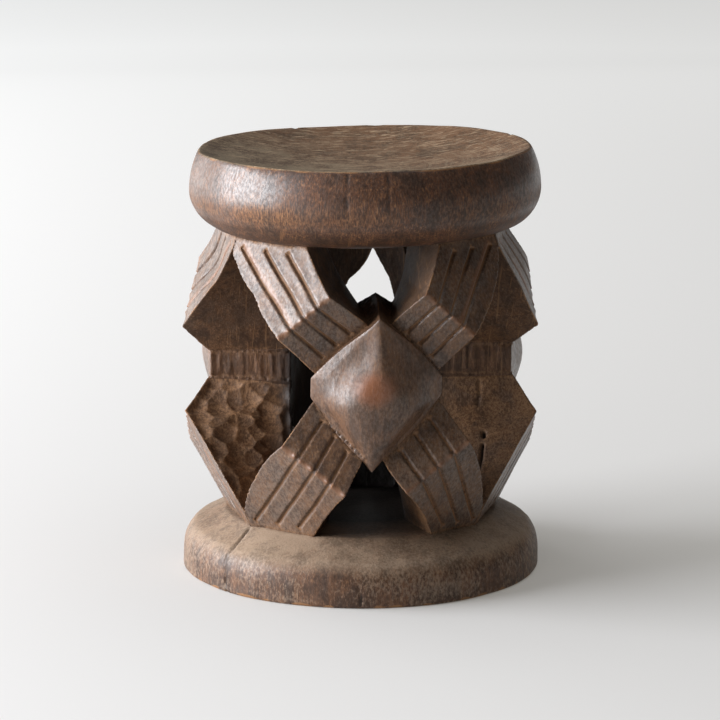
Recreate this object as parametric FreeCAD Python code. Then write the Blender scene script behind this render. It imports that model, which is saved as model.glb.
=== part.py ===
"""Carved wooden stool: a dished seat on an openwork cage of three X-shaped figures, on a round base.

All sizes are in millimetres. The floor is Z = 0, +Z is up, and the front figure faces -Y.
A figure has its own coordinates: across (to its right as seen from outside), outward (from the stool's
axis) and height. The stool is carved from one log, so its members meet face to face with no clearance.
"""
import FreeCAD
import Part
import math
import os

# Seat
SEAT_RIM_HEIGHT = 400.0
SEAT_THICKNESS = 74.0
SEAT_RADIUS = 164.5
SEAT_RIM_RADIUS = 155.0
SEAT_UNDERSIDE_RADIUS = 128.0
SEAT_WIDEST_ABOVE_UNDERSIDE = 36.0
SEAT_DISH_DEPTH = 24.0
SEAT_SHIFT = 4.5
SEAT_TILT_DEG = 0.8
SEAT_HIGH_SIDE_DEG = 60.0

# Base
BASE_HEIGHT = 56.0
BASE_RADIUS = 169.0
BASE_TOP_SET_IN = 41.0
BASE_SHOULDER_SET_IN = 14.0
BASE_SHOULDER_DROP = 13.0
BASE_SIDE_HEIGHT = 14.0
BASE_EDGE_ROUND = 3.0

# The three figures as carved, and the notch at the right of each, at its top and at its foot. Angles are
# round the axis. The top of the boss is measured out from the log's surface, and the outer roots of the legs
# in from it. The lift of that top, the ends of the boss's blunt sides and the upper outer elbow are measured
# from the boss's middle, as shares of the cage's height, and so is the notch's top, down from the seat. An
# edge share says how far round from elbow to notch a leg's edge is halfway up
FIGURES = {
    "front": {
        "angle_deg": 0.0,
        "boss_over_log": -0.5,
        "root_set_in": 30.0,
        "apex_lift_share": 0.044,
        "blunt_rise_share": 0.044,
        "blunt_drop_share": 0.022,
        "elbow_rise_share": 0.185,
        "right_edge_share": 0.62,
        "left_edge_share": 0.45,
        "notch_angle_deg": 57.0,
        "notch_foot_angle_deg": 50.5,
        "notch_top_share": 0.037,
    },
    "rear_right": {
        "angle_deg": 114.0,
        "boss_over_log": 7.6,
        "root_set_in": 24.0,
        "apex_lift_share": -0.015,
        "blunt_rise_share": 0.040,
        "blunt_drop_share": 0.045,
        "elbow_rise_share": 0.133,
        "right_edge_share": 0.45,
        "left_edge_share": 0.48,
        "notch_angle_deg": 169.0,
        "notch_foot_angle_deg": 169.0,
        "notch_top_share": 0.126,
    },
    "rear_left": {
        "angle_deg": 236.0,
        "boss_over_log": 5.1,
        "root_set_in": 24.0,
        "apex_lift_share": -0.015,
        "blunt_rise_share": 0.008,
        "blunt_drop_share": 0.060,
        "elbow_rise_share": 0.126,
        "right_edge_share": 0.46,
        "left_edge_share": 0.45,
        "notch_angle_deg": 298.0,
        "notch_foot_angle_deg": 302.5,
        "notch_top_share": 0.037,
    },
}

# Cage: the hollow core, and the diamond openings between neighbouring figures
CORE_RADIUS = 66.0
NOTCH_FOOT_ABOVE_BASE = 14.0

# Boss: a diamond with a pillowed face, and the block behind it that reaches in to the core.
# Heights here and in the legs below are shares of the cage's height between base and seat, and set-ins are
# measured in from the log's surface, which is the base's side
BOSS_HEIGHT_SHARE = 0.5185
BOSS_HALF_WIDTH = 60.0
BOSS_HALF_HEIGHT_SHARE = 0.265
BOSS_SIDE_SET_IN = 39.0
BOSS_TIP_SET_IN = 11.0
BOSS_FULLNESS_POWER = 1.4
BOSS_SECTION_SHARES = (1.25, 1.0, 0.75, 0.5, 0.3, 0.15, 0.05)
BLOCK_TIP_RISE_AT_CORE = 6.0
BLOCK_SHOULDER_AT_CORE = 16.0
BLOCK_SHOULDER_DROP_AT_CORE = 10.0

# Upper legs: the two ends of the elbow line, the inner edge at the seat and the edge at the notch
UPPER_ELBOW_INNER_ACROSS = 44.0
UPPER_ELBOW_INNER_RISE_SHARE = 0.341
UPPER_ELBOW_OUTER_ACROSS = 90.0
UPPER_ELBOW_OUTER_SET_IN = 1.0
UPPER_END_ACROSS = 58.0
UPPER_END_SET_IN = 33.0
UPPER_NOTCH_SET_IN = 26.0
UPPER_ELBOW_AT_CORE = 29.0
UPPER_END_AT_CORE = 43.0

# Lower legs: the same lines, measured down from the boss
LOWER_ELBOW_INNER_ACROSS = 28.0
LOWER_ELBOW_INNER_RISE_SHARE = 0.337
LOWER_ELBOW_OUTER_ACROSS = 86.0
LOWER_ELBOW_OUTER_RISE_SHARE = 0.178
LOWER_ELBOW_OUTER_SET_IN = 2.0
LOWER_END_ACROSS = 50.0
LOWER_END_SET_IN = 37.0
LOWER_NOTCH_SET_IN = 31.0
LOWER_EDGE_SHARE = 0.58
LOWER_ELBOW_AT_CORE = 26.0
LOWER_END_AT_CORE = 38.0

# Leg roots, as shares of the boss edge from its tip to its side
ROOT_INNER_SHARE = 0.15
ROOT_OUTER_SHARE = 0.96

# Grooves along the legs, spaced across the leg from its inner to its outer edge
GROOVE_WIDTH = 5.0
GROOVE_DEPTH = 3.5
GROOVE_MARGIN = 6.0
GROOVE_SHARES = (0.25, 0.5, 0.75)
GROOVE_END_SHARES = (0.27, 0.57, 0.88)

# How far rough stock reaches past a face before it is trimmed back to it
TRIM = 20.0

UP = FreeCAD.Vector(0, 0, 1)
AXIS_FOOT = FreeCAD.Vector(0, 0, 0)
FRONT = FreeCAD.Vector(0, -1, 0)
OVAL_PULL = 0.5523
SEAT_UNDERSIDE = SEAT_RIM_HEIGHT - SEAT_THICKNESS
CAGE_HEIGHT = SEAT_UNDERSIDE - BASE_HEIGHT
BOSS_HEIGHT = BASE_HEIGHT + BOSS_HEIGHT_SHARE * CAGE_HEIGHT
BOSS_HALF_HEIGHT = BOSS_HALF_HEIGHT_SHARE * CAGE_HEIGHT
UPPER_ELBOW_INNER_RISE = UPPER_ELBOW_INNER_RISE_SHARE * CAGE_HEIGHT
LOWER_ELBOW_INNER_RISE = LOWER_ELBOW_INNER_RISE_SHARE * CAGE_HEIGHT
LOWER_ELBOW_OUTER_RISE = LOWER_ELBOW_OUTER_RISE_SHARE * CAGE_HEIGHT
BASE_TOP_RADIUS = BASE_RADIUS - BASE_TOP_SET_IN
BASE_SHOULDER_RADIUS = BASE_RADIUS - BASE_SHOULDER_SET_IN
BASE_CORNER_DROP = BASE_SHOULDER_DROP * BASE_TOP_SET_IN / (BASE_TOP_SET_IN - BASE_SHOULDER_SET_IN)
BOSS_SIDE_OUTWARD = BASE_RADIUS - BOSS_SIDE_SET_IN
BOSS_TIP_OUTWARD = BASE_RADIUS - BOSS_TIP_SET_IN
UPPER_ELBOW_OUTER_RADIUS = BASE_RADIUS - UPPER_ELBOW_OUTER_SET_IN
UPPER_END_RADIUS = BASE_RADIUS - UPPER_END_SET_IN
UPPER_NOTCH_RADIUS = BASE_RADIUS - UPPER_NOTCH_SET_IN
LOWER_ELBOW_OUTER_RADIUS = BASE_RADIUS - LOWER_ELBOW_OUTER_SET_IN
LOWER_END_RADIUS = BASE_RADIUS - LOWER_END_SET_IN
LOWER_NOTCH_RADIUS = BASE_RADIUS - LOWER_NOTCH_SET_IN
STOCK_OUTWARD = BASE_RADIUS + TRIM
STOCK_INWARD = CORE_RADIUS / 3
STOCK_SIZE = 6 * BASE_RADIUS


def at(across, outward, height):
    """A point in the front figure's coordinates."""
    return FreeCAD.Vector(across, -outward, height)


def on_radius(across, radius, height):
    """A point of the front figure at a given distance from the stool's axis."""
    return at(across, math.sqrt(radius ** 2 - across ** 2), height)


def on_azimuth(azimuth, radius, height):
    """A point of the front figure at a given angle round the axis."""
    return at(radius * math.sin(azimuth), radius * math.cos(azimuth), height)


def azimuth_of(point):
    """The angle of a point of the front figure round the axis."""
    return math.atan2(point.x, -point.y)


def toward(start, end, share):
    """The point a share of the way from start to end."""
    return start + (end - start) * share


def line(start, end):
    return Part.LineSegment(start, end).toShape()


def quarter_oval(start, corner, end):
    """A quarter oval that leaves start and reaches end along the two sides of the corner."""
    curve = Part.BezierCurve()
    curve.setPoles([start, toward(start, corner, OVAL_PULL), toward(end, corner, OVAL_PULL), end])
    return curve.toShape()


def bend(start, corner, end):
    """A curve that leaves start toward the corner and reaches end from it."""
    curve = Part.BezierCurve()
    curve.setPoles([start, corner, end])
    return curve.toShape()


def revolved(edges):
    """A solid turned about the stool's axis."""
    return Part.Face(Part.Wire(edges)).revolve(AXIS_FOOT, UP, 360)


def profile_point(radius, height):
    return FreeCAD.Vector(radius, 0, height)


def arc_middle(radius, depth, start_height):
    """The point halfway out on a shallow bowl of the given rim radius and depth."""
    bowl = (radius ** 2 + depth ** 2) / (2 * depth)
    return profile_point(radius / 2, start_height + bowl - math.sqrt(bowl ** 2 - (radius / 2) ** 2))


def make_seat():
    """The seat: flat underside, full round side, crisp rim and a shallow bowl of a dish."""
    widest_height = SEAT_UNDERSIDE + SEAT_WIDEST_ABOVE_UNDERSIDE
    floor_height = SEAT_RIM_HEIGHT - SEAT_DISH_DEPTH
    centre = profile_point(0, SEAT_UNDERSIDE)
    edge = profile_point(SEAT_UNDERSIDE_RADIUS, SEAT_UNDERSIDE)
    widest = profile_point(SEAT_RADIUS, widest_height)
    rim = profile_point(SEAT_RIM_RADIUS, SEAT_RIM_HEIGHT)
    dish = profile_point(0, floor_height)
    side_corner = profile_point(SEAT_RADIUS, (widest_height + SEAT_RIM_HEIGHT) / 2)
    dish_middle = arc_middle(SEAT_RIM_RADIUS, SEAT_DISH_DEPTH, floor_height)
    seat = revolved(
        [
            line(centre, edge),
            quarter_oval(edge, profile_point(SEAT_RADIUS, SEAT_UNDERSIDE), widest),
            bend(widest, side_corner, rim),
            Part.Arc(rim, dish_middle, dish).toShape(),
            line(dish, centre),
        ]
    )
    seat.rotate(centre, on_azimuth(math.radians(SEAT_HIGH_SIDE_DEG), 1, 0).cross(UP), SEAT_TILT_DEG)
    seat.translate(FreeCAD.Vector(SEAT_SHIFT, 0, 0))
    return seat


def make_base():
    """The base: flat top and underside, a sloping shoulder, a round side and an eased lower edge."""
    top_centre = profile_point(0, BASE_HEIGHT)
    top_edge = profile_point(BASE_TOP_RADIUS, BASE_HEIGHT)
    shoulder = profile_point(BASE_SHOULDER_RADIUS, BASE_HEIGHT - BASE_SHOULDER_DROP)
    side_top = profile_point(BASE_RADIUS, BASE_SIDE_HEIGHT)
    side_foot = profile_point(BASE_RADIUS, BASE_EDGE_ROUND)
    under_edge = profile_point(BASE_RADIUS - BASE_EDGE_ROUND, 0)
    return revolved(
        [
            line(top_centre, top_edge),
            line(top_edge, shoulder),
            bend(shoulder, profile_point(BASE_RADIUS, BASE_HEIGHT - BASE_CORNER_DROP), side_top),
            line(side_top, side_foot),
            quarter_oval(side_foot, profile_point(BASE_RADIUS, 0), under_edge),
            line(under_edge, AXIS_FOOT),
            line(AXIS_FOOT, top_centre),
        ]
    )


def radial_line(surface):
    """A carved line that runs from a surface point straight to the stool's axis."""
    share = CORE_RADIUS / -surface.y
    return surface, at(surface.x * share, CORE_RADIUS, surface.z)


def stretched(carved, beyond, share):
    """The carved line that lies past the line beyond, by a share of the way between the two."""
    return tuple(toward(far, near, 1 + share) for far, near in zip(beyond, carved))


def at_depth(carved, outward):
    """Where a carved line crosses the flat sheet at a given outward distance."""
    surface, core = carved
    return toward(core, surface, (outward + core.y) / (core.y - surface.y))


def side_face(a, b, c, d):
    """The face between two neighbouring carved lines: flat where it can be, otherwise gently twisted."""
    if abs((b - a).cross(c - a).dot(d - a)) < STOCK_SIZE:
        return Part.Face(Part.makePolygon([a, b, c, d, a]))
    return Part.makeRuledSurface(line(a, b), line(d, c))


def carved_stock(lines):
    """The solid between the carved lines, from inside the core to outside the log."""
    outer = [at_depth(carved, STOCK_OUTWARD) for carved in lines]
    inner = [at_depth(carved, STOCK_INWARD) for carved in lines]
    faces = [Part.Face(Part.makePolygon(ring + ring[:1])) for ring in (outer, inner)]
    for index in range(len(lines)):
        following = (index + 1) % len(lines)
        faces.append(side_face(outer[index], outer[following], inner[following], inner[index]))
    shell = Part.makeShell(faces)
    shell.sewShape()
    solid = Part.makeSolid(shell)
    if solid.Volume < 0:
        solid.reverse()
    return solid


def largest(shape):
    return max(shape.Solids, key=lambda solid: solid.Volume)


def facet_normal(a, b, c):
    """The normal of the facet through three points, pointing away from the stool."""
    normal = (b - a).cross(c - a)
    normal.normalize()
    return normal if normal.dot(FRONT) > 0 else -normal


def beyond_facet(point, normal):
    """Everything on the outer side of a facet."""
    corner = FreeCAD.Vector(-STOCK_SIZE / 2, -STOCK_SIZE / 2, 0)
    block = Part.makeBox(STOCK_SIZE, STOCK_SIZE, STOCK_SIZE, corner)
    block.Placement = FreeCAD.Placement(point, FreeCAD.Rotation(UP, normal))
    return block


def on_facet(point, normal, azimuth, height):
    """The point of a facet at a given angle round the axis and a given height."""
    ray = on_azimuth(azimuth, 1, 0)
    level = FreeCAD.Vector(0, 0, height)
    return level + ray * ((point - level).dot(normal) / ray.dot(normal))


def on_facet_front(point, normal, across, height):
    """The point of a facet straight out from the front figure's plane, at a given across and height."""
    foot = at(across, 0, height)
    return foot + FRONT * ((point - foot).dot(normal) / FRONT.dot(normal))


def groove(start, end, normal):
    """A V cut along a facet from start to end."""
    along = end - start
    across = along.cross(normal)
    across.normalize()
    left = start + normal * GROOVE_DEPTH - across * GROOVE_WIDTH
    right = start + normal * GROOVE_DEPTH + across * GROOVE_WIDTH
    bottom = start - normal * GROOVE_DEPTH
    return Part.Face(Part.makePolygon([left, right, bottom, left])).extrude(along)


def past(start, end, length):
    """The point a length past end on the way from start; a negative length stops short of end."""
    way = end - start
    return end + way * (length / way.Length)


def boss_edge(share, direction, blunt):
    """Across and height of a point on the boss edge, a share of the way from its tip to its blunt side."""
    rise = blunt[direction] + (1 - share) * (BOSS_HALF_HEIGHT - blunt[direction])
    return share * BOSS_HALF_WIDTH, BOSS_HEIGHT + direction * rise


def block_tip(direction):
    """The carved line of the ridge that runs in from the boss's top or bottom corner."""
    height = BOSS_HEIGHT + direction * BOSS_HALF_HEIGHT
    surface = at(0, BOSS_TIP_OUTWARD, height)
    return surface, at(0, CORE_RADIUS, height + direction * BLOCK_TIP_RISE_AT_CORE)


def block_shoulder(side, direction, blunt):
    """The carved line where the ridge meets the inner wall of a leg."""
    across, height = boss_edge(ROOT_INNER_SHARE, direction, blunt)
    surface = at(side * across, BOSS_TIP_OUTWARD, height)
    tip_at_core = block_tip(direction)[1]
    drop = FreeCAD.Vector(0, 0, -direction * BLOCK_SHOULDER_DROP_AT_CORE)
    return surface, tip_at_core + drop + at(side * BLOCK_SHOULDER_AT_CORE, 0, 0)


def block_side(side, direction, blunt):
    """The carved line that runs in from the upper or lower corner of the boss's blunt side."""
    height = BOSS_HEIGHT + direction * blunt[direction]
    return radial_line(at(side * BOSS_HALF_WIDTH, BOSS_SIDE_OUTWARD, height))


def make_core():
    """The hollow inside the cage."""
    return Part.makeCylinder(CORE_RADIUS, SEAT_RIM_HEIGHT, AXIS_FOOT, UP)


def make_pillow(apex, lift, blunt):
    """The boss's face, full at the apex and falling away to the tips and the blunt sides."""
    side_drop = apex - BOSS_SIDE_OUTWARD
    tip_drop = apex - BOSS_TIP_OUTWARD
    tip_reach = BOSS_HALF_HEIGHT * (side_drop / tip_drop) ** (1 / BOSS_FULLNESS_POWER)
    sections = []
    for size in BOSS_SECTION_SHARES:
        outward = apex - side_drop * size ** BOSS_FULLNESS_POWER
        middle = BOSS_HEIGHT + max(0, 1 - size) * lift
        top = at(0, outward, middle + size * tip_reach)
        bottom = at(0, outward, middle - size * tip_reach)
        width = size * BOSS_HALF_WIDTH
        upper, lower = (middle + direction * size * blunt[direction] for direction in (1, -1))
        right = [at(width, outward, upper), at(width, outward, lower)]
        left = [at(-width, outward, lower), at(-width, outward, upper)]
        sections.append(Part.makePolygon([top, *right, bottom, *left, top]))
    return Part.makeLoft(sections, True, False)


def make_boss(core, apex, lift, blunt):
    """A boss with its block, down to the core."""
    lines = [
        block_tip(1),
        block_shoulder(1, 1, blunt),
        block_side(1, 1, blunt),
        block_side(1, -1, blunt),
        block_shoulder(1, -1, blunt),
        block_tip(-1),
        block_shoulder(-1, -1, blunt),
        block_side(-1, -1, blunt),
        block_side(-1, 1, blunt),
        block_shoulder(-1, 1, blunt),
    ]
    pillow = make_pillow(apex, lift, blunt)
    shaving = beyond_facet(at(0, -pillow.BoundBox.YMax, BOSS_HEIGHT), FRONT).cut(pillow)
    return largest(carved_stock(lines).cut(shaving).cut(core))


def make_leg(
    core, boss, blunt, root_radius, direction, elbow, end, at_core, end_height, notch, edge_share
):
    """A right-hand leg: up to the seat for direction 1, down to the base for -1.

    elbow holds the across and height of the inner end of the elbow line, and its whole outer end.
    blunt holds the rise and the drop of the boss's blunt side, by direction.
    """
    inner_across, inner_height, elbow_outer = elbow
    shin = facet_normal(elbow_outer, end, notch)
    elbow_inner = on_facet_front(elbow_outer, shin, inner_across, inner_height)
    root_across, root_height = boss_edge(ROOT_OUTER_SHARE, direction, blunt)
    root_outer = on_radius(root_across, root_radius, root_height)
    thigh = facet_normal(elbow_inner, elbow_outer, root_outer)

    elbow_inner_line = (elbow_inner, at(at_core[0], CORE_RADIUS, inner_height))
    elbow_outer_line = radial_line(elbow_outer)
    end_line = (end, at(at_core[1], CORE_RADIUS, end_height))
    elbow_azimuth = azimuth_of(elbow_outer)
    notch_azimuth = azimuth_of(notch)
    edge_azimuth = elbow_azimuth + edge_share * (notch_azimuth - elbow_azimuth)
    edge_middle = on_azimuth(edge_azimuth, BASE_RADIUS, (elbow_outer.z + notch.z) / 2)
    end_share = TRIM / abs(end_height - inner_height)
    root_share = TRIM / (elbow_outer - root_outer).Length
    notch_end = FreeCAD.Vector(notch.x, notch.y, end_height + direction * TRIM)
    stock = carved_stock(
        [
            stretched(block_shoulder(1, direction, blunt), elbow_inner_line, root_share),
            elbow_inner_line,
            stretched(end_line, elbow_inner_line, end_share),
            radial_line(notch_end),
            radial_line(notch),
            radial_line(edge_middle),
            elbow_outer_line,
            stretched(radial_line(root_outer), elbow_outer_line, root_share),
        ]
    )
    leg = stock.cut(beyond_facet(elbow_inner, shin)).cut(beyond_facet(elbow_inner, thigh))
    leg = largest(leg.cut(core).cut(boss))

    root_inner = on_facet_front(elbow_inner, thigh, *boss_edge(ROOT_INNER_SHARE, direction, blunt))
    end_azimuth = azimuth_of(end)
    groove_end_height = end_height - direction * GROOVE_MARGIN
    for share, end_share in zip(GROOVE_SHARES, GROOVE_END_SHARES):
        fold = toward(elbow_inner, elbow_outer, share)
        root = toward(root_inner, root_outer, share)
        azimuth = end_azimuth + end_share * (notch_azimuth - end_azimuth)
        groove_end = on_facet(elbow_inner, shin, azimuth, groove_end_height)
        leg = leg.cut(groove(past(groove_end, fold, GROOVE_DEPTH), groove_end, shin))
        leg = leg.cut(groove(past(root, fold, GROOVE_DEPTH), past(fold, root, -GROOVE_MARGIN), thigh))
    return largest(leg)


def make_upper_leg(core, boss, blunt, root_radius, elbow_rise, half_angle, notch_drop, edge_share):
    outer = on_radius(UPPER_ELBOW_OUTER_ACROSS, UPPER_ELBOW_OUTER_RADIUS, BOSS_HEIGHT + elbow_rise)
    return make_leg(
        core,
        boss,
        blunt,
        root_radius,
        1,
        (UPPER_ELBOW_INNER_ACROSS, BOSS_HEIGHT + UPPER_ELBOW_INNER_RISE, outer),
        on_radius(UPPER_END_ACROSS, UPPER_END_RADIUS, SEAT_UNDERSIDE),
        (UPPER_ELBOW_AT_CORE, UPPER_END_AT_CORE),
        SEAT_UNDERSIDE,
        on_azimuth(half_angle, UPPER_NOTCH_RADIUS, SEAT_UNDERSIDE - notch_drop),
        edge_share,
    )


def make_lower_leg(core, boss, blunt, root_radius, half_angle):
    outer_height = BOSS_HEIGHT - LOWER_ELBOW_OUTER_RISE
    outer = on_radius(LOWER_ELBOW_OUTER_ACROSS, LOWER_ELBOW_OUTER_RADIUS, outer_height)
    return make_leg(
        core,
        boss,
        blunt,
        root_radius,
        -1,
        (LOWER_ELBOW_INNER_ACROSS, BOSS_HEIGHT - LOWER_ELBOW_INNER_RISE, outer),
        on_radius(LOWER_END_ACROSS, LOWER_END_RADIUS, BASE_HEIGHT),
        (LOWER_ELBOW_AT_CORE, LOWER_END_AT_CORE),
        BASE_HEIGHT,
        on_azimuth(half_angle, LOWER_NOTCH_RADIUS, BASE_HEIGHT + NOTCH_FOOT_ABOVE_BASE),
        LOWER_EDGE_SHARE,
    )


def mirrored(shape):
    return shape.mirror(AXIS_FOOT, FreeCAD.Vector(1, 0, 0))


def turned(shape, angle):
    copy = shape.copy()
    copy.rotate(AXIS_FOOT, UP, angle)
    return copy


seat = make_seat()
base = make_base()
core = make_core()
members = {"seat": seat, "base": base}

names = list(FIGURES)
for index, name in enumerate(names):
    figure = FIGURES[name]
    preceding = FIGURES[names[index - 1]]
    blunt = {1: figure["blunt_rise_share"] * CAGE_HEIGHT, -1: figure["blunt_drop_share"] * CAGE_HEIGHT}
    elbow_rise = figure["elbow_rise_share"] * CAGE_HEIGHT
    root_radius = BASE_RADIUS - figure["root_set_in"]
    apex = BASE_RADIUS + figure["boss_over_log"]
    boss = make_boss(core, apex, figure["apex_lift_share"] * CAGE_HEIGHT, blunt)
    members[name + "_boss"] = turned(boss, figure["angle_deg"])
    for side, turn, notch in (("right", 1, figure), ("left", -1, preceding)):
        half = math.radians(turn * (notch["notch_angle_deg"] - figure["angle_deg"]) % 360)
        foot_half = math.radians(turn * (notch["notch_foot_angle_deg"] - figure["angle_deg"]) % 360)
        notch_drop = notch["notch_top_share"] * CAGE_HEIGHT
        edge_share = figure[side + "_edge_share"]
        upper = make_upper_leg(core, boss, blunt, root_radius, elbow_rise, half, notch_drop, edge_share)
        lower = make_lower_leg(core, boss, blunt, root_radius, foot_half)
        if side == "left":
            upper = mirrored(upper)
            lower = mirrored(lower)
        members[name + "_upper_" + side + "_leg"] = largest(turned(upper, figure["angle_deg"]).cut(seat))
        members[name + "_lower_" + side + "_leg"] = largest(turned(lower, figure["angle_deg"]).cut(base))

os.makedirs("parts", exist_ok=True)
for name, shape in members.items():
    shape.exportStep("parts/" + name + ".step")
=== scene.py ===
import itertools
import math

import bmesh
import bpy
import numpy as np
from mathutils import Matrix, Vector
from mathutils.bvhtree import BVHTree
from mathutils.kdtree import KDTree


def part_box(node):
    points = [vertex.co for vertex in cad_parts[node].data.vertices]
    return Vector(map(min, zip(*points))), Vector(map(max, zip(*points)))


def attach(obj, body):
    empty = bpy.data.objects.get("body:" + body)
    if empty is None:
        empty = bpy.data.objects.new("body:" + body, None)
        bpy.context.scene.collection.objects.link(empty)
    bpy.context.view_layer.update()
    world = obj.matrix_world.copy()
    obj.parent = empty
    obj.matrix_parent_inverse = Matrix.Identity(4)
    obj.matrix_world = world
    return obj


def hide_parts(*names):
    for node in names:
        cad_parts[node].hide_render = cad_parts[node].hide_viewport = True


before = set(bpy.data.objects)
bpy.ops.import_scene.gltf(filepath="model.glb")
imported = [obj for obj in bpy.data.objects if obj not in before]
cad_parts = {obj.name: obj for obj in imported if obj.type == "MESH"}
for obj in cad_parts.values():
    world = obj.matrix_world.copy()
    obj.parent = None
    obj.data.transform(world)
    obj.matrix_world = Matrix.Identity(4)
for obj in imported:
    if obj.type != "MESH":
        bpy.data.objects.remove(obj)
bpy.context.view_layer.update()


# Base. The foot of the one log of dark hardwood, left whole under the cage: a thick round disc with a
# hand-rounded shoulder and a flat underside. It has a drying crack on its left, a short one in front and a
# rubbed lower edge.
MM = 0.001
BASE_HEIGHT = 56.0
BASE_RADIUS = 169.0
BASE_TOP_RADIUS = 128.0
BASE_SHOULDER_RADIUS = 155.0
BASE_SHOULDER_HEIGHT = 43.0
BASE_CORNER_HEIGHT = 36.3
BASE_SIDE_HEIGHT = 14.0
BASE_EDGE_ROUND = 3.0
BASE_STROKE = (22, 22, 60)
BASE_STROKE_DEPTH = 0.7
BASE_CRACK_DEPTH = 3.5
BASE_CRACK_WIDTH = 1.6
BASE_FRONT_CRACK_WIDTH = 1.3
BASE_INNER_SHADE_RADIUS = 96.0
BASE_INNER_SHADE_REACH = 30.0
TURNED_SHARE = 0.5
MESH_STEP = 1.9


def scatter(cells, seed):
    """A steady random number from 0 to 1 for each whole-numbered cell."""
    mixed = (cells * (73856093, 19349663, 83492791)).sum(axis=1) + seed * 40503
    mixed = (mixed ^ (mixed >> 13)) * 1274126177
    mixed = (mixed ^ (mixed >> 16)) * 668265263
    return ((mixed ^ (mixed >> 15)) & 0xFFFFFF) / 0xFFFFFF


def swell(points, size, seed):
    """Smooth random waves from -1 to 1, about one size long."""
    scaled = points / size
    low = np.floor(scaled).astype(np.int64)
    share = scaled - low
    share = share * share * (3 - 2 * share)
    total = np.zeros(len(points))
    for corner in itertools.product((0, 1), repeat=3):
        weight = np.where(corner, share, 1 - share).prod(axis=1)
        total += weight * scatter(low + corner, seed)
    return 2 * total - 1


def strokes(points, size, seed):
    """Chisel strokes side by side, each a scoop that meets the next in a ridge.

    Gives how deep each point is cut, its nearness to a stroke's border and the stroke's own tone, from 0 to 1.
    """
    scaled = points / size
    low = np.floor(scaled).astype(np.int64)
    nearest = np.full(len(points), 9.0)
    second = np.full(len(points), 9.0)
    depth = np.zeros(len(points))
    tone = np.zeros(len(points))
    for step in itertools.product((-1, 0, 1), repeat=3):
        cell = low + step
        jitter = np.stack([scatter(cell, seed + axis) for axis in range(3)], axis=1)
        lean = np.stack([scatter(cell, seed + 3 + axis) for axis in range(3)], axis=1) - 0.5
        away = scaled - cell - jitter
        distance = (away ** 2).sum(axis=1)
        closer = distance < nearest
        second = np.where(closer, nearest, np.minimum(second, distance))
        depth = np.where(closer, 0.9 - 1.3 * distance + 0.5 * (away * lean).sum(axis=1), depth)
        tone = np.where(closer, scatter(cell, seed + 6), tone)
        nearest = np.where(closer, distance, nearest)
    border = 1 - (np.sqrt(second) - np.sqrt(nearest)) / 0.3
    return np.clip(depth, 0, 1), np.clip(border, 0, 1), tone


# Where the carver's eye strayed: a middle, a reach and a shift, in millimetres
STRAYED = (
    ((0, -150, 215), (85, 70, 70), (3.6, 0, 0)),
    ((0, -150, 125), (40, 60, 36), (-5, 0, 0)),
    ((0, -75, 270), (45, 50, 36), (7, 0, 0)),
    ((15, 75, 268), (60, 60, 45), (7, 0, 0)),
    ((-145, 0, 292), (28, 50, 28), (8, 0, 0)),
    ((150, 0, 290), (30, 60, 30), (5, 0, 0)),
    ((0, 155, 400), (90, 50, 30), (0, 0, -2)),
)


def hand_wobble(points):
    """The slow unevenness of work done by eye, the same for every member of the log."""
    slow = np.stack([swell(points, 75, 11 + axis) for axis in range(3)], axis=1)
    quick = np.stack([swell(points, 26, 21 + axis) for axis in range(3)], axis=1)
    moved = points + 1.1 * slow + 0.4 * quick
    for middle, reach, shift in STRAYED:
        share = np.exp(-(((points - middle) / reach) ** 2).sum(axis=1))
        moved += share[:, None] * shift
    return moved


def oval(start, corner, end, count):
    """A quarter oval from start to end, inside the corner."""
    turn = np.linspace(0, math.pi / 2, count)[:, None]
    start, corner, end = (np.array(point, float) for point in (start, corner, end))
    return start + (end - corner) * (1 - np.cos(turn)) + (corner - start) * np.sin(turn)


def bend(start, corner, end, count):
    """A curve that leaves start toward the corner and reaches end from it."""
    share = np.linspace(0, 1, count)[:, None]
    start, corner, end = (np.array(point, float) for point in (start, corner, end))
    return start * (1 - share) ** 2 + corner * 2 * share * (1 - share) + end * share ** 2


def straight(start, end):
    """Evenly spaced points from start to end."""
    length = math.dist(start, end)
    return np.linspace(start, end, max(2, round(length / MESH_STEP)))


def turned_disc(profile):
    """A round closed surface from a profile of radius and height that starts and ends on the axis."""
    keep = np.append(True, np.linalg.norm(np.diff(profile, axis=0), axis=1) > 1e-6)
    rows = profile[keep][1:-1]
    turns = round(2 * math.pi * profile[:, 0].max() / MESH_STEP)
    angles = np.linspace(0, 2 * math.pi, turns, endpoint=False)
    radius, height = rows[:, :1], rows[:, 1:]
    ring = np.stack([radius * np.sin(angles), -radius * np.cos(angles), height + 0 * angles], axis=2)
    points = np.vstack([ring.reshape(-1, 3), [[0, 0, profile[0][1]], [0, 0, profile[-1][1]]]])
    first, last = len(points) - 2, len(points) - 1
    faces = []
    for row, column in itertools.product(range(len(rows) - 1), range(turns)):
        after = (column + 1) % turns
        a, b = row * turns + column, row * turns + after
        faces.append((a, a + turns, b + turns, b))
    for column in range(turns):
        after = (column + 1) % turns
        foot = (len(rows) - 1) * turns
        faces.append((column, after, first))
        faces.append((foot + after, foot + column, last))
    return points, faces


def crack_depth(points, path, width):
    """How far inside a crack each point lies: 1 along the path, 0 a width away from it."""
    path = np.array(path, float)
    nearest = np.full(len(points), np.inf)
    for start, end in zip(path[:-1], path[1:]):
        way = end - start
        share = np.clip((points - start) @ way / (way @ way), 0, 1)
        nearest = np.minimum(nearest, np.linalg.norm(points - start - share[:, None] * way, axis=1))
    return np.clip(1 - nearest / width, 0, 1)


def at_angle(angle, radius, height):
    """A point at an angle round the axis from the front, in degrees, to the right as seen from outside."""
    turn = math.radians(angle)
    return radius * math.sin(turn), -radius * math.cos(turn), height


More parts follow.
